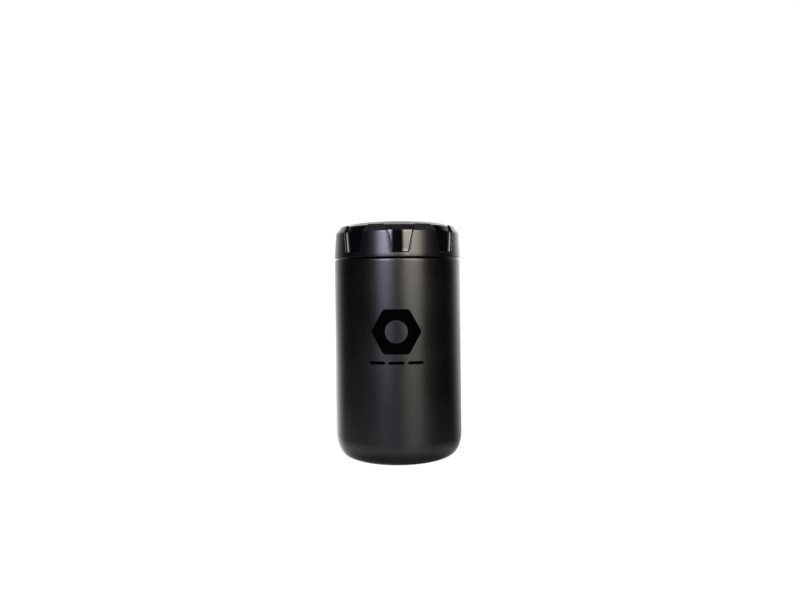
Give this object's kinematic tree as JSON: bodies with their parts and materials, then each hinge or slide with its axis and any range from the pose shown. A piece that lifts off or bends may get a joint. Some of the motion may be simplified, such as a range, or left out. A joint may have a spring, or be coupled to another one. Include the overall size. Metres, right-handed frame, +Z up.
{
  "type": "tool canister",
  "caption": "Round plastic tool canister with a rounded base, a threaded neck and a quick-thread screw lid with tapered gloss grip recesses and a chamfered top.",
  "frame": {"origin": "centre of the base, on the plane the canister stands on", "axes": "+Z up along the canister's axis, -Y towards the printed front"},
  "size_m": [0.0744, 0.0744, 0.135],
  "materials": {
    "body_plastic": "satin black moulded plastic",
    "lid_plastic": "fine matt black moulded plastic",
    "cap_plastic": "plain black moulded plastic",
    "inlay_gloss": "polished gloss black",
    "seal_silicone": "matt grey silicone",
    "liner_felt": "charcoal needled felt",
    "pad_foam": "matt black closed-cell foam"
  },
  "bodies": {
    "canister": {"canister_body": "body_plastic", "liner_sleeve": "liner_felt", "base_pad": "pad_foam"},
    "seal": {"seal_ring": "seal_silicone"},
    "lid": {"lid_shell": "lid_plastic", "lid_inner_cap": "cap_plastic", "grip_inlay_1": "inlay_gloss", "grip_inlay_2": "inlay_gloss", "grip_inlay_3": "inlay_gloss", "grip_inlay_4": "inlay_gloss", "grip_inlay_5": "inlay_gloss", "grip_inlay_6": "inlay_gloss", "grip_inlay_7": "inlay_gloss", "grip_inlay_8": "inlay_gloss"}
  },
  "joints": [
    {"name": "lid_climb", "type": "slide", "parent": "canister", "child": "seal", "axis": [0, 0, 1], "range_m": [0, 0.018]},
    {"name": "lid_turn", "type": "hinge", "parent": "seal", "child": "lid", "pos_m": [0, 0, 0.12], "axis": [0, 0, 1], "range_deg": [0, 540]}
  ],
  "couplings": [
    {"joint": "lid_climb", "follows": "lid_turn", "m_per_rad": 0.0019099}
  ]
}
